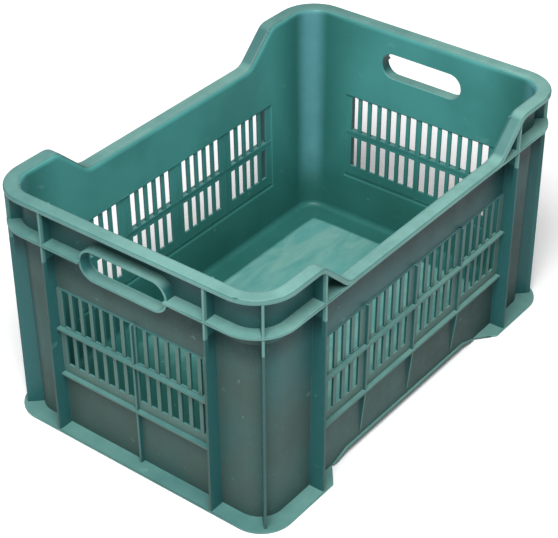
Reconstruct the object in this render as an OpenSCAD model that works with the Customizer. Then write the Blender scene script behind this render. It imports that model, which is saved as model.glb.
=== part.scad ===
// Produce crate, moulded in one piece of hard plastic.
// The two ends stand high and carry the hand holes. The rim slopes down to a
// lower run along each long side. The walls are pierced by two rows of upright
// slots, and their foot is cut back in a shallow arch under each long side.
// X runs along the length, Y across, Z up. The origin is the middle of the base.

/* [Overall] */
// Length over the rim
crate_l = 600; // [560:1:660]
// Width over the rim
crate_w = 400; // [370:1:440]
// Height of the rim at the ends
end_h = 317; // [312:1:330]
// Height of the rim along the sides
side_h = 273; // [268:1:276]
// Outer radius of the four corners, seen from above
corner_r = 52; // [48:1:60]

/* [Walls] */
// Thickness of the walls, ribs, flanges and floor
wall = 3; // [2.6:0.1:3.4]
// Depth of the wall's outer face behind the rim's edge, near the top
recess_top = 17.5; // [15:0.5:19]
// The same depth at the base, where the wall has leant inwards
recess_base = 21; // [19:0.5:23]

/* [Rim] */
// Depth of the lip that hangs from the rim's outer edge
lip_h = 6; // [5:0.5:8]
// Radius of the round between the rim and the inner face of the wall
rim_round = 7; // [5:0.5:8]
// Depth of the wall strip that is made with the rim
rim_depth = 14; // [13:0.5:15]
// Half length of the level low run, up to where the rim starts to climb
low_run_x = 144; // [136:1:148]
// Distance from the middle to where the rim has stopped climbing
high_run_x = 208; // [204:1:214]
// Radius of the two bends of the slope, at the top of the rim
bend_r = 22; // [18:1:24]

/* [Flange] */
// Depth of the flange's underside below the rim of the sides
flange_drop = 6.5; // [6.5:0.5:10]

/* [Ribs] */
// Depth of the tall posts' outer edge behind the rim's edge
post_inset = 0.5; // [0.2:0.1:1.5]
// How far the upright ribs between the posts stand out of the wall
rib_out = 6; // [4:0.5:9]
// How far the two level ribs stand out of the wall
level_out = 8; // [6:0.5:11]
// Height of the middle of the upper level rib
upper_rib_z = 147.5; // [142:0.5:152]
// Height of the middle of the lower level rib
lower_rib_z = 81; // [79.5:0.5:88]

/* [Slotted panels] */
// Height of the panels' lower edge
panel_low = 76; // [70:0.5:77]
// Height of the panels' upper edge
panel_high = 204; // [198:0.5:212]
// How far the panels stand out of the wall around them
panel_step = 2; // [1:0.1:2.4]
// Width of one slot
slot_w = 10; // [8:0.5:11]
// Number of slots on each half of an end
end_slots = 7; // [4:1:7]
// Distance between neighbouring slots on the ends
end_pitch = 15.6; // [13.5:0.1:16]
// Distance from the middle of an end to its first slot
end_first = 9; // [7.5:0.1:10]
// Distance from an end's last slot to its post
end_last_gap = 14.4; // [10:0.1:18]
// Number of slots in each of the four columns of a side
side_slots = 5; // [3:1:5]
// Distance between neighbouring slots on the sides
side_pitch = 16; // [13.5:0.1:17]
// Width of one column of slots on a side, rib to rib
side_column = 97.5; // [94:0.5:98.5]
// Plain strip from the middle of the lower level rib up to the lower slots
strip_low = 14; // [9:0.5:20]
// Plain strip from the lower slots up to the middle of the upper level rib
strip_mid = 7.5; // [4:0.5:12]
// Plain strip from the middle of the upper level rib up to the upper slots
strip_high = 2.5; // [2.5:0.5:6]

/* [Hand holes] */
// Length of the opening
hand_l = 122; // [100:1:140]
// Height of the opening
hand_h = 36; // [30:1:40]
// Depth of the collar's outer edge behind the rim's edge
collar_inset = 4; // [2:0.5:10]

/* [Foot] */
// Outer radius of the corners of the base ledge
ledge_r = 42; // [36:1:50]
// Half length of the full width of the base ledge's gap along the sides
ledge_full_x = 178; // [172:1:186]
// Half length of the arch at the ground
arch_low_x = 152; // [146:1:158]
// Half length of the arch at its top
arch_high_x = 125; // [118:1:132]
// Height of the arch
arch_h = 9; // [6:0.5:9.5]
// How far the lip along the arch stands out of the wall
arch_lip = 3; // [2:0.5:5]

/* [Floor] */
// Height of the floor's underside
floor_z = 10; // [10:0.5:14]
// Radius of the cove between the floor and the walls
cove_r = 8; // [5:0.5:12]
// Width of the border between the walls and the raised field of the floor
field_border = 32; // [24:1:40]
// Height of the raised field above the border
field_rise = 1.5; // [0.8:0.1:3]
// Corner radius of the raised field
field_r = 24; // [12:1:40]

/* [Hidden] */
$fn = 64;
half_l = crate_l / 2;
half_w = crate_w / 2;
corner_x = half_l - corner_r;
corner_y = half_w - corner_r;
// Inner face of the wall near the top, as a depth behind the rim's edge
rim_w = recess_top + wall;
// The wall stands upright above this height and leans inwards below it
draft_z = side_h - rim_depth;
// The slope is the straight line that touches both bends
dip_run = high_run_x - low_run_x;
dip_rise = end_h - side_h;
slope_l = sqrt(dip_run ^ 2 + dip_rise ^ 2 - 4 * bend_r * dip_rise);
slope_angle = atan2(dip_rise - 2 * bend_r, dip_run) + atan2(2 * bend_r, slope_l);
// Where the rim would start and end its climb with no bends
dip_low_x = low_run_x + bend_r * tan(slope_angle / 2);
dip_high_x = high_run_x - bend_r * tan(slope_angle / 2);
// The slope's section is this much slimmer than the bends', and it reaches a
// little way into them, so that they meet in one clean step
seam = 0.05;
seam_reach = 0.5;
// The wall's own top edge lies inside the strip that is made with the rim
wall_drop = (rim_round + rim_depth) / 2;
wall_shift = wall_drop * tan(slope_angle / 2);
end_post_y = end_first + (end_slots - 1) * end_pitch + end_last_gap;
side_post_x = 2 * side_column;
flange_z = side_h - flange_drop;
// The flange ends a little way inside the low run of the rim
flange_end_x = low_run_x - wall;
hand_z = flange_z + wall / 2;
floor_top = floor_z + wall;
lower_slot_z = lower_rib_z + strip_low;
lower_slot_h = upper_rib_z - strip_mid - lower_slot_z;
upper_slot_z = upper_rib_z + strip_high;
upper_slot_h = panel_high - panel_step - upper_slot_z;
// Cuts reach this far past the faces that they open
past = 1;

// Depth of the wall's outer face behind the rim's edge, at a height
function skin(z) = z > draft_z
    ? recess_top
    : recess_base + (recess_top - recess_base) * z / draft_z;

// Height of the rim's top above a place along the side, without its bends
function crown(x) = x > dip_high_x
    ? end_h
    : side_h + (x - dip_low_x) * tan(slope_angle);

// A section is drawn with X as the depth behind the rim's edge and Y as the
// height. This turns it to face outwards, with its edge at a distance.
module facing(reach) {
    translate([reach, 0]) mirror([1, 0]) children();
}

// Runs a section along the end at +X
module end_run(run) {
    rotate([90, 0, 0]) linear_extrude(run, center = true) facing(half_l) children();
}

// Runs a section along the side at +Y
module side_run(run) {
    rotate([90, 0, 90]) linear_extrude(run, center = true) facing(half_w) children();
}

// Turns a section through the corner at +X, +Y
module corner_run() {
    translate([corner_x, corner_y, 0]) rotate_extrude(angle = 90) facing(corner_r) children();
}

module both_ends() {
    for (m = [0, 1]) mirror([m, 0, 0]) children();
}

module both_sides() {
    for (m = [0, 1]) mirror([0, m, 0]) children();
}

module four_corners() {
    both_ends() both_sides() children();
}

// Runs a section all the way round
module around() {
    both_ends() end_run(2 * corner_y) children();
    both_sides() side_run(2 * corner_x) children();
    four_corners() corner_run() children();
}

// Rectangle with round corners, centred
module outline(l, w, r) {
    square([l - 2 * r, w], center = true);
    square([l, w - 2 * r], center = true);
    for (x = [-1, 1], y = [-1, 1])
        translate([x * (l / 2 - r), y * (w / 2 - r)]) circle(r);
}

// Outline of the crate, moved inwards by a depth
module inset_outline(depth) {
    outline(crate_l - 2 * depth, crate_w - 2 * depth, corner_r - depth);
}

// Rim: a flat top, a lip outside, a round inside and a strip of the wall. All
// its faces can be drawn a little way inside their own lines.
module rim_section(slim = 0) {
    round_x = rim_w - rim_round;
    difference() {
        union() {
            translate([wall, -rim_depth]) square([round_x - wall, rim_depth - slim]);
            translate([slim, -lip_h]) square([wall - slim, lip_h - wall]);
            translate([wall, -wall]) circle(wall - slim);
            translate([round_x, -rim_round]) circle(rim_round - slim);
            translate([round_x, -rim_depth + slim])
                square([rim_round - slim, rim_depth - rim_round - slim]);
        }
        translate([wall - slim, -rim_depth - past])
            square([round_x - wall + slim, rim_depth + past - wall + slim]);
        translate([round_x, -rim_round]) circle(rim_round - wall + slim);
        translate([round_x, -rim_depth - past])
            square([rim_round - wall + slim, rim_depth + past - rim_round]);
        translate([-past, -rim_depth - past])
            square([wall + 2 * past, rim_depth + past - lip_h + slim]);
    }
}

// Bend of the rim about a level axis, from the start angle upwards
module rim_bend(start) {
    mirror([0, 1, -1]) rotate([0, 0, start]) rotate_extrude(angle = slope_angle)
        translate([bend_r, 0]) children();
}

// The slope and its two bends, at +X on the side at +Y
module rim_slope() {
    translate([high_run_x, 0, end_h - bend_r])
        rim_bend(90) mirror([1, -1]) facing(half_w) rim_section();
    translate([low_run_x, 0, side_h + bend_r]) {
        rim_bend(270) rotate(90) facing(half_w) rim_section();
        rotate([0, -slope_angle, 0]) translate([slope_l / 2, 0, -bend_r])
            side_run(slope_l + 2 * seam_reach) rim_section(seam);
    }
}

module rim() {
    high_run = corner_x - high_run_x;
    translate([0, 0, end_h]) {
        both_ends() end_run(2 * corner_y) rim_section();
        four_corners() corner_run() rim_section();
        four_corners() translate([high_run_x + high_run / 2, 0, 0])
            side_run(high_run) rim_section();
    }
    translate([0, 0, side_h]) both_sides() side_run(2 * low_run_x) rim_section();
    four_corners() rim_slope();
}

// Section of the wall, upright at the top and leaning inwards to the base
module wall_section() {
    polygon([
        [recess_base, 0],
        [recess_top, draft_z],
        [recess_top, end_h - wall_drop],
        [recess_top + wall, end_h - wall_drop],
        [recess_top + wall, draft_z],
        [recess_base + wall, 0],
    ]);
}

// Space above the wall of the long sides, as seen from the side
module dip_space() {
    low_x = dip_low_x + wall_shift;
    high_x = dip_high_x + wall_shift;
    polygon([
        [-high_x, end_h - wall_drop],
        [-low_x, side_h - wall_drop],
        [low_x, side_h - wall_drop],
        [high_x, end_h - wall_drop],
        [high_x, end_h],
        [-high_x, end_h],
    ]);
}

// Arch under the long sides, as seen from the side
module arch_space() {
    polygon([[-arch_low_x, 0], [-arch_high_x, arch_h], [arch_high_x, arch_h], [arch_low_x, 0]]);
}

// The panel's outer face lies in front of the wall around it
module panel_front() {
    low = panel_low + panel_step;
    high = panel_high - panel_step;
    polygon([
        [skin(panel_low), panel_low],
        [skin(low) - panel_step, low],
        [skin(high) - panel_step, high],
        [skin(panel_high), panel_high],
        [skin(panel_high) + wall / 2, panel_high],
        [skin(panel_low) + wall / 2, panel_low],
    ]);
}

// The panel's inner face follows the outer one, so it is a shallow pocket
module panel_pocket() {
    low = panel_low + panel_step;
    high = panel_high - panel_step;
    polygon([
        [skin(panel_low) + wall, panel_low],
        [skin(low) + wall - panel_step, low],
        [skin(high) + wall - panel_step, high],
        [skin(panel_high) + wall, panel_high],
        [skin(panel_high) + 2 * wall, panel_high],
        [skin(panel_low) + 2 * wall, panel_low],
    ]);
}

// Both rows of slots at one place along a wall, cut right through it
module slot_pair(reach) {
    deep = recess_base + 2 * wall - recess_top + rib_out;
    for (row = [[lower_slot_z, lower_slot_h], [upper_slot_z, upper_slot_h]])
        translate([reach - recess_base - 2 * wall, -slot_w / 2, row[0]])
            cube([deep, slot_w, row[1]]);
}

module end_slots_cut() {
    for (i = [0 : end_slots - 1], side = [-1, 1])
        translate([0, side * (end_first + i * end_pitch), 0]) slot_pair(half_l);
}

module side_slots_cut() {
    for (column = [-1.5 : 1.5], i = [0 : side_slots - 1])
        translate([column * side_column + (i - (side_slots - 1) / 2) * side_pitch, 0, 0])
            rotate([0, 0, 90]) slot_pair(half_w);
}

// Four walls with their slotted panels
module walls() {
    difference() {
        union() {
            around() wall_section();
            both_ends() end_run(2 * end_post_y) panel_front();
            both_sides() side_run(2 * side_post_x) panel_front();
        }
        both_ends() end_run(2 * end_post_y) panel_pocket();
        both_sides() side_run(2 * side_post_x) panel_pocket();
        both_ends() end_slots_cut();
        both_sides() side_slots_cut();
        rotate([90, 0, 0]) linear_extrude(crate_w, center = true) dip_space();
        rotate([90, 0, 0]) linear_extrude(crate_w, center = true) arch_space();
    }
}

// Flange under the high rim, round the ends and in to the foot of the slopes
module flange() {
    translate([0, 0, flange_z]) linear_extrude(wall) difference() {
        inset_outline(0);
        inset_outline(recess_top + wall / 2);
        square([2 * flange_end_x, crate_w + past], center = true);
    }
}

// Upright fin of the wall's thickness, from a section, at an edge's distance
module fin(reach) {
    rotate([90, 0, 0]) linear_extrude(wall, center = true) facing(reach) children();
}

// Post that reaches out to the rim's edge, from the ground up to a height. Its
// outer top corner is cut off, so that it ends inside the lip.
module post_section(top) {
    polygon([
        [post_inset, 0],
        [post_inset, top - wall],
        [wall, top],
        [recess_top + wall / 2, top],
        [recess_top + wall / 2, draft_z],
        [recess_base + wall / 2, 0],
    ]);
}

// Rib between two heights, standing out of the wall by one amount at each
module rib_section(low, low_out, high, high_out) {
    polygon([
        [skin(low) - low_out, low],
        [skin(high) - high_out, high],
        [skin(high) + wall / 2, high],
        [skin(low) + wall / 2, low],
    ]);
}

module level_section(z) {
    translate([skin(z) - level_out, z - wall / 2]) square([level_out + wall / 2, wall]);
}

module posts() {
    under_rim = end_h - wall / 2;
    under_slope = crown(side_post_x - wall / 2) - wall / 3;
    both_ends() for (y = [-1, 1])
        translate([0, y * end_post_y, 0]) fin(half_l) post_section(under_rim);
    both_sides() for (x = [-1, 1])
        translate([x * side_post_x, 0, 0]) rotate([0, 0, 90])
            fin(half_w) post_section(min(under_slope, under_rim));
    four_corners() translate([corner_x, corner_y, 0])
        rotate([0, 0, 45]) fin(corner_r) post_section(under_rim);
}

module ribs() {
    both_ends() {
        fin(half_l) rib_section(0, rib_out, panel_high, rib_out);
        for (z = [lower_rib_z, upper_rib_z]) end_run(2 * end_post_y) level_section(z);
    }
    both_sides() {
        for (column = [-1 : 1]) translate([column * side_column, 0, 0]) rotate([0, 0, 90]) {
            fin(half_w) rib_section(panel_low, rib_out, panel_high, rib_out);
            fin(half_w) rib_section(arch_h, 0, panel_low, rib_out);
        }
        for (z = [lower_rib_z, upper_rib_z]) side_run(2 * side_post_x) level_section(z);
    }
}

// Opening with round ends, as seen from the end of the crate
module hand_outline(grow) {
    tall = hand_h + 2 * grow;
    square([hand_l - hand_h, tall], center = true);
    for (side = [-1, 1]) translate([side * (hand_l - hand_h) / 2, 0]) circle(tall / 2);
}

module hand_collars() {
    collar = recess_top + wall / 2 - collar_inset;
    both_ends() translate([half_l - collar_inset - collar, 0, hand_z])
        rotate([90, 0, 90]) linear_extrude(collar) hand_outline(wall);
}

module hand_holes_cut() {
    deep = rim_w + 2 * past;
    both_ends() translate([half_l - deep + past, 0, hand_z])
        rotate([90, 0, 90]) linear_extrude(deep) hand_outline(0);
}

// Ledge at the ground, open along the arch of each long side
module base_ledge() {
    linear_extrude(wall) difference() {
        outline(crate_l, crate_w, ledge_r);
        inset_outline(recess_base + wall / 2);
        for (side = [-1, 1]) scale([1, side]) polygon([
            [-ledge_full_x, half_w + past],
            [-ledge_full_x, half_w],
            [-arch_low_x, half_w - recess_base],
            [-arch_low_x, 0],
            [arch_low_x, 0],
            [arch_low_x, half_w - recess_base],
            [ledge_full_x, half_w],
            [ledge_full_x, half_w + past],
        ]);
    }
}

// Lip that follows the arch of the long sides
module arch_lips() {
    both_sides() translate([0, half_w - recess_base + arch_lip, 0])
        rotate([90, 0, 0]) linear_extrude(arch_lip + wall / 2) difference() {
            translate([0, wall]) arch_space();
            arch_space();
        }
}

// Floor plate, its cove along the walls and the raised field in the middle
module floor_plate() {
    cove_face = skin(floor_top + cove_r) + wall;
    translate([0, 0, floor_z]) linear_extrude(wall) inset_outline(recess_base + wall / 2);
    translate([0, 0, floor_z + wall / 2]) linear_extrude(field_rise + wall / 2)
        outline(
            crate_l - 2 * (recess_base + wall + field_border),
            crate_w - 2 * (recess_base + wall + field_border),
            field_r
        );
    around() difference() {
        translate([cove_face - wall / 2, floor_top - wall / 2])
            square(cove_r + wall / 2);
        translate([cove_face + cove_r, floor_top + cove_r]) circle(cove_r);
    }
}

module crate() {
    color("#3f8a80") difference() {
        union() {
            walls();
            rim();
            flange();
            posts();
            ribs();
            hand_collars();
            base_ledge();
            arch_lips();
            floor_plate();
        }
        hand_holes_cut();
    }
}

crate();
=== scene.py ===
# %% [markdown]
# # A plastic produce crate
#
# The crate is one moulding of hard green plastic: a floor, four slotted walls,
# ribs and posts outside, and a rim that dips along both long sides. Its exact
# solids come from the CAD model. This lesson softens their edges and gives the
# plastic the fading, dust and scuffs of a crate that has been in use for years,
# with painted shade and painted highlights in its colour as well.
#
# Everything is in metres, with the middle of the base at the origin, X along
# the length and Z up.

import math

import bmesh
import bpy
import numpy as np
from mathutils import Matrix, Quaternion, Vector


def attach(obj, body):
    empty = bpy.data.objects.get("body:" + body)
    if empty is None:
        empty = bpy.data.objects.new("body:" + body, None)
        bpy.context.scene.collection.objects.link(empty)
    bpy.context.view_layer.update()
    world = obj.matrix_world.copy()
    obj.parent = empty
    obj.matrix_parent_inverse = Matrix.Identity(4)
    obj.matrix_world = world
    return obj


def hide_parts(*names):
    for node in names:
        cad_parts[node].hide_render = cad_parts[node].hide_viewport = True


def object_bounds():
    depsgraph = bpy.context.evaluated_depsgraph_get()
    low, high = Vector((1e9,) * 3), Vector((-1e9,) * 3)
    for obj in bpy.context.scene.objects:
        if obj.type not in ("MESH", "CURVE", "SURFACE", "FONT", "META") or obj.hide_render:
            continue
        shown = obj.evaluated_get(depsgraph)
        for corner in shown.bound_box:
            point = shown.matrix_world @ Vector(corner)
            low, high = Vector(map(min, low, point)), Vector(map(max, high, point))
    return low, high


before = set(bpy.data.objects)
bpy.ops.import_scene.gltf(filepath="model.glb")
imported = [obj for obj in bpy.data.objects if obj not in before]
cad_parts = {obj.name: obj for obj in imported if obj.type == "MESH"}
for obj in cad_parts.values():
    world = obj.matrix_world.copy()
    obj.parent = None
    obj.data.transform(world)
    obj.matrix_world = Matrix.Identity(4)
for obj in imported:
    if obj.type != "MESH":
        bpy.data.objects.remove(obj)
cad_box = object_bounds()
scene = bpy.context.scene
print("CAD box:", [[round(v, 4) for v in corner] for corner in cad_box])

# %% [markdown]
# ## The camera
#
# A camera can be placed by eye, or worked out from straight edges whose sizes
# are known. Here the edges of the rim and the base gave the place, the aim, the
# lens and a very small roll, so the picture has the photograph's own view.

# %% Camera
EYE = Vector((-1.356286, -1.039110, 1.312307))
AIM = Vector((-0.018842, 0.001398, 0.129917))
ROLL = math.radians(-0.31)
LENS = 108.73

camera_data = bpy.data.cameras.new("camera")
camera_data.lens = LENS
camera_data.sensor_width = 36.0
camera_data.clip_end = 50.0
camera = bpy.data.objects.new("camera", camera_data)
scene.collection.objects.link(camera)
camera.location = EYE
camera.rotation_mode = "QUATERNION"
camera.rotation_quaternion = (AIM - EYE).to_track_quat("-Z", "Y") @ Quaternion((0, 0, 1), ROLL)
scene.camera = camera
print("Camera is", round((AIM - EYE).length, 3), "m from its aim")

# %% [markdown]
# ## Moulded edges
#
# No edge of a moulding is perfectly sharp, and the soft edge is what catches
# the light. The edges could be modelled one by one, or only faked in the
# shading. Here the CAD mesh is copied, its loose triangles are welded into one
# surface, and a Bevel modifier rounds every edge that turns by more than a set
# angle.

# %% Welding the mesh
WELD = 0.0001


def moulded(node, name):
    """The node's mesh as a new piece, with its loose triangles welded."""
    shell = bmesh.new()
    shell.from_mesh(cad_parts[node].data)
    bmesh.ops.remove_doubles(shell, verts=shell.verts, dist=WELD)
    bmesh.ops.dissolve_degenerate(shell, edges=shell.edges, dist=WELD)
    open_edges = sum(1 for e in shell.edges if len(e.link_faces) != 2)
    mesh = bpy.data.meshes.new(name)
    shell.to_mesh(mesh)
    shell.free()
    piece = bpy.data.objects.new(name, mesh)
    scene.collection.objects.link(piece)
    print(name, "has", len(mesh.polygons), "faces and", open_edges, "open edges")
    return piece


body = moulded("crate", "crate_body")
body.data.shade_smooth()

# %% Rounding the edges
EDGE_RADIUS = 0.0005
EDGE_ANGLE = math.radians(35)

soften = body.modifiers.new("soft edges", "BEVEL")
soften.width = EDGE_RADIUS
soften.segments = 2
soften.limit_method = "ANGLE"
soften.angle_limit = EDGE_ANGLE
soften.use_clamp_overlap = False
graph = bpy.context.evaluated_depsgraph_get()
rounded = bpy.data.meshes.new_from_object(body.evaluated_get(graph))
body.modifiers.remove(soften)
body.data = rounded
print("Rounded mesh has", len(rounded.polygons), "faces")

# %% [markdown]
# ## Holding the size
#
# The mould gives the crate its outer size, and softer edges don't change it.
# The Bevel modifier can push a corner out by a few hundredths of a millimetre.
# A smaller radius would only hide that, so every point is held between the
# lowest and the highest corner of the CAD model's box. A Weighted Normal
# modifier then lets the large faces keep their own shading, so that only the
# narrow rounds between them turn.

# %% Body of the crate
points = np.empty(len(rounded.vertices) * 3)
rounded.vertices.foreach_get("co", points)
points = points.reshape(-1, 3)
held = np.clip(points, cad_box[0], cad_box[1])
rounded.vertices.foreach_set("co", held.ravel())
rounded.update()
print("Points held inside the box:", int(np.sum(np.any(held != points, axis=1))))

even = body.modifiers.new("even shading", "WEIGHTED_NORMAL")
even.keep_sharp = False
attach(body, "root")
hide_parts("crate")

# %% [markdown]
# ## Shader maths
#
# A procedural material is a graph of small nodes. Written out one by one they
# are hard to read, so a small class wraps a socket and lets Python's own
# operators build the Math nodes. Colours and vectors have their own methods,
# because a Math node would turn them grey.

# %% A wrapped socket


class Wire:
    """A socket of one material's graph, with the operators that are used."""

    def __init__(self, tree, socket):
        self.tree = tree
        self.socket = socket

    def node(self, kind, settings=None, inputs=None, output=0):
        """Adds a node: its settings first, then its sockets' values or links."""
        made = self.tree.nodes.new(kind)
        for key, value in (settings or {}).items():
            setattr(made, key, value)
        for key, value in (inputs or {}).items():
            if isinstance(value, Wire):
                self.tree.links.new(value.socket, made.inputs[key])
            else:
                made.inputs[key].default_value = value
        return Wire(self.tree, made.outputs[output])

    def math(self, operation, *values):
        return self.node("ShaderNodeMath", {"operation": operation}, dict(enumerate(values)))

    def __add__(self, other):
        return self.math("ADD", self, other)

    def __radd__(self, other):
        return self.math("ADD", other, self)

    def __sub__(self, other):
        return self.math("SUBTRACT", self, other)

    def __rsub__(self, other):
        return self.math("SUBTRACT", other, self)

    def __mul__(self, other):
        return self.math("MULTIPLY", self, other)

    def __rmul__(self, other):
        return self.math("MULTIPLY", other, self)

    def __truediv__(self, other):
        return self.math("DIVIDE", self, other)

    def __abs__(self):
        return self.math("ABSOLUTE", self)

    def least(self, other):
        return self.math("MINIMUM", self, other)

    def most(self, other):
        return self.math("MAXIMUM", self, other)

    def step(self, low, high):
        """0 below low and 1 above high, with a smooth rise between them."""
        return self.node(
            "ShaderNodeMapRange",
            {"interpolation_type": "SMOOTHSTEP"},
            {"Value": self, "From Min": low, "From Max": high},
        )

    def past(self, level, blur):
        """0 to 1 as this value passes a level, within the blur on each side."""
        return self.step(level - blur, level + blur)

    def axis(self, index):
        return self.node("ShaderNodeSeparateXYZ", {}, {0: self}, index)

    def stretched(self, *scale):
        return self.node("ShaderNodeVectorMath", {"operation": "MULTIPLY"}, {0: self, 1: scale})

    def noise(self, scale, detail=2.0, rough=0.5, twist=0.0):
        return self.node(
            "ShaderNodeTexNoise",
            {},
            {
                "Vector": self,
                "Scale": scale,
                "Detail": detail,
                "Roughness": rough,
                "Distortion": twist,
            },
        )

    def tint(self, other, share):
        """This colour, turned into another one by a share from 0 to 1."""
        return self.node(
            "ShaderNodeMix",
            {"data_type": "RGBA", "clamp_factor": True},
            {0: share, 6: self, 7: other},
            2,
        )


def linear(red, green, blue):
    """A colour as screens write it, 0 to 255, turned into linear light."""
    whole = np.array([red, green, blue]) / 255
    return (*np.where(whole < 0.04045, whole / 12.92, ((whole + 0.055) / 1.055) ** 2.4), 1.0)


# %% [markdown]
# ## The plastic
#
# The real plastic is one green-teal colour all through. What shows is partly its
# history: sun and rubbing have faded the rim and the ledges, dust lies in the
# recesses between the ribs, and the floor is scuffed. The rest is painted shade
# and painted light: the outside, the places under the flange and the rim, the
# inside low down and one half of the floor are painted darker, the inner corners
# get a painted highlight, and the up-facing faces, the bar fronts and the other
# half of the floor are painted paler, partly as fading and wear and partly as
# painted light. A painted picture could show all that, but it would fit only one
# crate. Here every mark follows from the place on the crate and the way that a
# face looks. First come the colours: the plastic itself, a darker tone that also
# serves as painted shade inside, the outside with its painted shade, and what
# lies on them.

# %% Colours
PLASTIC = linear(78, 154, 151)
# A darker tone that varies at random, and also the painted shade low inside, in the gutter,
# beside the inner corners and on one half of the floor.
SHADE_AND_DARK_TONE = linear(36, 94, 86)
# Painted shade: the outside is painted darker than the plastic inside.
OUTER_SHADE = linear(46, 98, 99)
# Painted shade below the flange and under the rim, and towards the +X end of the long sides.
PAINTED_SHADE_COLOUR = linear(20, 54, 56)
# Pale colour for fading, wear, specks and scratches, and for painted light on the up-facing
# faces and one half of the floor field.
PALE_FADE_AND_LIGHT = linear(130, 177, 168)
DUSTY = linear(64, 86, 81)
# Bar fronts: partly rubbed pale, partly painted light.
WORN_AND_LIT = linear(94, 126, 119)
# Painted highlight: a paler, bluer band down each rounded inner corner.
CORNER_SHEEN = linear(104, 166, 176)

crate_plastic = bpy.data.materials.new("crate_plastic")
crate_plastic.use_nodes = True
tree = crate_plastic.node_tree
shader = tree.nodes["Principled BSDF"]
print("Plastic in linear light:", [round(float(v), 3) for v in PLASTIC[:3]])

# %% [markdown]
# ## Where a place is
#
# Dust lies outside and scuffs inside, so the material has to know on which side
# of the wall it is. The two sides could be two materials, but a rounded edge
# would then show a seam. Here the depth behind the crate's outline is worked
# out, as it is seen from above: along a straight wall it is the distance from
# the outline, and round a corner it is measured along the radius. What lies
# less deep than the middle of the wall is outside.

# %% Places and faces
# The outline and the middle of the wall, which leans below a height
HALF_L, HALF_W = 0.3, 0.2
CORNER = 0.052
WALL_DEPTH = 0.018
WALL_LEAN = 0.0135
UPRIGHT_FROM = 0.259

place = Wire(tree, tree.nodes.new("ShaderNodeTexCoord").outputs["Object"])
facing = Wire(tree, tree.nodes.new("ShaderNodeNewGeometry").outputs["Normal"])
x, y, z = (place.axis(i) for i in range(3))

over_x = (abs(x) - (HALF_L - CORNER)).most(0.0)
over_y = (abs(y) - (HALF_W - CORNER)).most(0.0)
reach = place.math("SQRT", over_x * over_x + over_y * over_y).most(0.0001)
depth = CORNER - reach
middle = WALL_DEPTH + WALL_LEAN * (UPRIGHT_FROM - z).most(0.0)
outside = (middle - depth).past(0.0, 0.0002)
inside = 1.0 - outside

# How a face looks: up, sideways, straight out of its wall, or to a long side
top = facing.axis(2).step(0.55, 0.95)
wall_face = 1.0 - abs(facing.axis(2)).step(0.3, 0.8)
out_x = facing.axis(0) * over_x * place.math("SIGN", x)
out_y = facing.axis(1) * over_y * place.math("SIGN", y)
flat_on = (abs(out_x + out_y) / reach).step(0.35, 0.8)
long_side = abs(facing.axis(1)).step(0.5, 0.9)
print("Nodes for places and faces:", len(tree.nodes))

# %% [markdown]
# ## Marks of many sizes
#
# Wear has no single size: whole walls differ a little, patches of some
# centimetres lie on them, and fine specks on those. One noise with much detail
# could hold all of them, but then they couldn't be used apart. Here each size
# is a noise of its own. Stretched noises make the streaks that run down a wall
# and the thin scratches along the three directions.

# %% Noise
cloud = place.noise(7.0, 3.0, 0.55)
patch = place.noise(38.0, 4.0, 0.6)
speck = place.noise(420.0, 2.0, 0.6)
blotch = place.noise(3.4, 2.0)
streak = place.stretched(90.0, 90.0, 6.0).noise(1.0, 3.0, 0.6)
sweep = place.stretched(9.0, 30.0, 1.0).noise(1.0, 4.0, 0.65, 1.2)
scratch = place.stretched(60.0, 60.0, 1400.0).noise(1.0, 2.0, 0.5)
scratch = scratch.most(place.stretched(1400.0, 50.0, 60.0).noise(1.0, 2.0, 0.5))
scratch = scratch.most(place.stretched(50.0, 1400.0, 60.0).noise(1.0, 2.0, 0.5))
print("Nodes with the noises:", len(tree.nodes))

# %% [markdown]
# ## Fading, rubbing and painted light
#
# The level faces of rim, flange and ledges stand in the sun and turn pale, and
# the faces that look up are painted paler still as painted light, most on the
# long side at -Y. The outermost edges rub on whatever stands beside the crate,
# and so do the fronts of the bars, which are also painted paler as painted
# light. An edge-wear node would find edges by their curvature, which the
# export can't carry, so the edges are found by their depth and height.

# %% Fading and painted light
EDGE_DEPTH = 0.0048
COLLAR_FOOT = 0.245
LEDGE_TOP = 0.0036
PROUD_BY = 0.0015
BAR_DEPTH = 0.0095

outermost = 1.0 - depth.past(EDGE_DEPTH, 0.0004)
rubbed = (z.past(COLLAR_FOOT, 0.001) + (1.0 - z.past(LEDGE_TOP, 0.0004))).least(1.0)
rubbed = outermost * rubbed * wall_face
# Painted light: up-facing faces and rubbed edges paler on the long side at -Y.
lit_side = 0.78 + 0.34 * (1.0 - y.step(-0.19, -0.05)) * x.step(-0.285, -0.245)
# Up-facing faces paler: partly fading, partly painted light on the tops.
fade_and_top_light = top * (outside * (0.62 + 0.38 * z.step(0.15, 0.26)) + inside * z.step(0.2, 0.26))
fade_and_top_light = (fade_and_top_light + 0.8 * rubbed) * lit_side
fade_and_top_light = fade_and_top_light * (0.25 + 0.6 * patch + blotch.step(0.36, 0.62) * 0.4)
# Bar fronts paler: partly rubbing, partly painted light.
bar_wear_and_light = (middle - depth).past(PROUD_BY, 0.0003) * depth.past(BAR_DEPTH, 0.0005)
bar_wear_and_light = bar_wear_and_light * wall_face * flat_on * (0.4 + 0.5 * patch)
print("Nodes with the fading:", len(tree.nodes))

# %% [markdown]
# ## Dust and painted shade
#
# Dust sticks to the walls between the posts, and less so near the top of the
# long sides. Painted shade darkens the places just below the flange and under
# the rim, and the long sides towards one end. Dust could be a loose layer of
# geometry, but it is thinner than anything that would show, so it is colour and
# roughness; the painted shade is colour alone.

# %% Dust and painted shade
FLANGE_FOOT = 0.248
FLANGE_TOP = 0.270
PAINTED_SHADE_FROM = 0.0056

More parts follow.
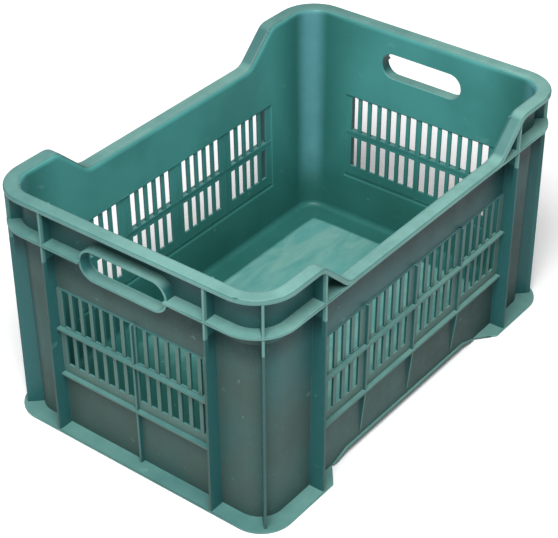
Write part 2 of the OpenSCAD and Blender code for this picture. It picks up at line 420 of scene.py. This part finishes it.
grime = 0.15 + 0.55 * patch + 0.45 * streak + cloud.step(0.38, 0.62) * 0.35
clean_top = 1.0 - z.step(0.1, 0.21) * long_side * 0.8
clean_top = clean_top * (1.0 - 0.7 * z.past(FLANGE_TOP, 0.004))
dust = outside * wall_face * flat_on * grime * clean_top * (1.0 - rubbed)

# Painted shade in a band just below the flange and in the band under the rim, darker towards
# +Y.
under = z.step(0.212, 0.246) * (1.0 - z.past(FLANGE_FOOT, 0.0005))
under = under.most(z.step(0.266, 0.305) * (0.35 + 0.5 * y.step(-0.05, 0.17)))
# Painted shade there and towards the +X end of the long sides, only on faces a few millimetres
# behind the outline.
painted_shade = (0.8 * under + 0.55 * x.step(-0.2, 0.24) * long_side) * (0.55 + 0.7 * patch)
painted_shade = painted_shade * outside * wall_face * (1.0 - rubbed) * depth.past(PAINTED_SHADE_FROM, 0.0004)
print("Nodes with dust and damp:", len(tree.nodes))

# %% [markdown]
# ## The inside
#
# The raised field of the floor is paler on its half towards +X, with streaks
# where the produce slides: partly scuffing, partly painted light. Painted shade
# darkens the other half, the gutter round the field and the walls low down. Each
# rounded inner corner has a painted highlight, a paler band that runs from the
# rim to the floor, with painted shade on the walls beside it.

# %% Inside
FIELD_L, FIELD_W = 0.244, 0.144

field = 1.0 - abs(x).step(FIELD_L - 0.006, FIELD_L + 0.002)
field = field * (1.0 - abs(y).step(FIELD_W - 0.006, FIELD_W + 0.002))
lit_half = x.step(-0.17, -0.03)
# Painted shade: darker low on the inner walls, in the gutter round the field, beside the inner
# corners and on the floor's half towards -X.
inside_shade = inside * (1.0 - field) * (1.0 - z.step(0.02, 0.24)) * (0.6 + 0.5 * cloud)
nook = abs(x).step(0.19, 0.26) * abs(y).step(0.08, 0.16) * inside * wall_face
inside_shade = inside_shade.most(nook * 0.7)
inside_shade = inside_shade.most(inside * top * (1.0 - z.step(0.02, 0.03)) * (1.0 - lit_half) * 0.9)
# The field's half towards +X is paler: partly scuffs, partly painted light.
swept_and_lit = inside * field * top * (0.1 + 0.55 * sweep.step(0.35, 0.7) + 0.4 * patch)
swept_and_lit = swept_and_lit * lit_half
# Painted highlight: a paler band down each rounded inner corner, from low on the wall up to the
# rim.
band = (over_x.least(over_y) / reach).step(0.0, 0.62)
band = band * inside * wall_face * z.step(0.03, 0.12) * (0.5 + 0.4 * patch)
print("Nodes with the inside:", len(tree.nodes))

# %% [markdown]
# ## Colour, gloss and bump
#
# The masks are laid over the plastic one after the other: the darker tone, the
# painted shade and the dirt first, then the painted highlights and what rubbing
# and scratches took off again. Dust is dull and the paler floor field is smooth,
# which the roughness follows. A moulded wall is never quite flat, so a weak,
# wide bump bends its reflections, and finer ones break them up.

# %% Finish of the plastic
colour = place.node("ShaderNodeRGB")
colour.socket.default_value = PLASTIC
# Painted shade: the low inside, the darker outside and the recesses; painted highlight: the
# corner bands; partly painted light: the bar fronts, the pale tops and the floor field.
for layer, share in (
    (SHADE_AND_DARK_TONE, cloud.step(0.4, 0.7) * 0.3),
    (SHADE_AND_DARK_TONE, inside_shade),
    (OUTER_SHADE, outside),
    (DUSTY, dust),
    (PAINTED_SHADE_COLOUR, painted_shade),
    (CORNER_SHEEN, band),
    (WORN_AND_LIT, bar_wear_and_light),
    (PALE_FADE_AND_LIGHT, fade_and_top_light),
    (PALE_FADE_AND_LIGHT, swept_and_lit),
    (PALE_FADE_AND_LIGHT, speck.step(0.62, 0.8) * 0.16),
    (PALE_FADE_AND_LIGHT, scratch.step(0.70, 0.76) * 0.22),
):
    colour = colour.tint(layer, share)

rough = 0.27 + 0.14 * patch + 0.22 * dust + 0.06 * speck - 0.06 * swept_and_lit
height = 0.0004 * place.noise(11.0, 1.0) + 0.00006 * patch + 0.000012 * speck
bump = place.node("ShaderNodeBump", {}, {"Strength": 1.0, "Distance": 1.0, "Height": height})
tree.links.new(colour.socket, shader.inputs["Base Color"])
tree.links.new(rough.socket, shader.inputs["Roughness"])
tree.links.new(bump.socket, shader.inputs["Normal"])
shader.inputs["IOR"].default_value = 1.5
shader.inputs["Specular IOR Level"].default_value = 0.25
body.data.materials.append(crate_plastic)
print("Plastic has", len(tree.nodes), "nodes")

# %% [markdown]
# ## Light and floor
#
# The photograph has soft light from above and a plain white ground. A large
# lamp overhead gives the soft top light, the world fills in the rest, and both
# stay at a level at which a colour looks as it is written. The floor keeps the
# crate's shadow near the crate. Farther off, where the lamp grows weak, it glows
# a little for the camera alone, so that the ground stays white without more
# light on the crate.

# %% Floor
FLOOR_SIZE = 6.0
FLOOR_WHITE = 0.9
SEEN_WHITER = 0.3
GLOW = 0.68
GLOW_FROM, GLOW_FULL = 0.45, 1.4

floor_mesh = bpy.data.meshes.new("floor")
corners = np.array([[-1, -1, 0], [1, -1, 0], [1, 1, 0], [-1, 1, 0]]) * FLOOR_SIZE
floor_mesh.from_pydata(corners.tolist(), [], [(0, 1, 2, 3)])
floor = bpy.data.objects.new("floor", floor_mesh)
scene.collection.objects.link(floor)

floor_paint = bpy.data.materials.new("floor_paint")
floor_paint.use_nodes = True
paint_tree = floor_paint.node_tree
paint_shader = paint_tree.nodes["Principled BSDF"]
seen = Wire(paint_tree, paint_tree.nodes.new("ShaderNodeLightPath").outputs["Is Camera Ray"])
spot = Wire(paint_tree, paint_tree.nodes.new("ShaderNodeTexCoord").outputs["Object"])
away = spot.node("ShaderNodeVectorMath", {"operation": "LENGTH"}, {0: spot}, 1)
glow = seen * away.step(GLOW_FROM, GLOW_FULL) * GLOW
white = FLOOR_WHITE + seen * SEEN_WHITER
paint_tree.links.new(white.socket, paint_shader.inputs["Base Color"])
paint_tree.links.new(glow.socket, paint_shader.inputs["Emission Strength"])
paint_shader.inputs["Emission Color"].default_value = (1.0, 1.0, 1.0, 1.0)
paint_shader.inputs["Roughness"].default_value = 0.9
floor_mesh.materials.append(floor_paint)
print("Floor is", 2 * FLOOR_SIZE, "m wide")

# %% Lamp
lamp_data = bpy.data.lights.new("softbox", "AREA")
lamp_data.shape = "RECTANGLE"
lamp_data.size = 1.4
lamp_data.size_y = 1.2
lamp_data.energy = 70.0
lamp = bpy.data.objects.new("softbox", lamp_data)
lamp.location = (-1.1, -0.65, 2.25)
lamp.rotation_mode = "QUATERNION"
lamp.rotation_quaternion = (Vector((0, 0, 0.1)) - lamp.location).to_track_quat("-Z", "Y")
scene.collection.objects.link(lamp)
print("Lamp is", round(lamp.location.length, 2), "m away, with", lamp_data.energy, "W")

# %% World
FILL = 0.32

world = bpy.data.worlds.new("studio")
world.use_nodes = True
world_tree = world.node_tree
sky = world_tree.nodes["Background"]
seen = Wire(world_tree, world_tree.nodes.new("ShaderNodeLightPath").outputs["Is Camera Ray"])
sky.inputs["Color"].default_value = (1.0, 1.0, 1.0, 1.0)
world_tree.links.new((FILL + seen * (1.0 - FILL)).socket, sky.inputs["Strength"])
scene.world = world
scene.view_settings.view_transform = "Standard"
print("World fills in with", FILL)
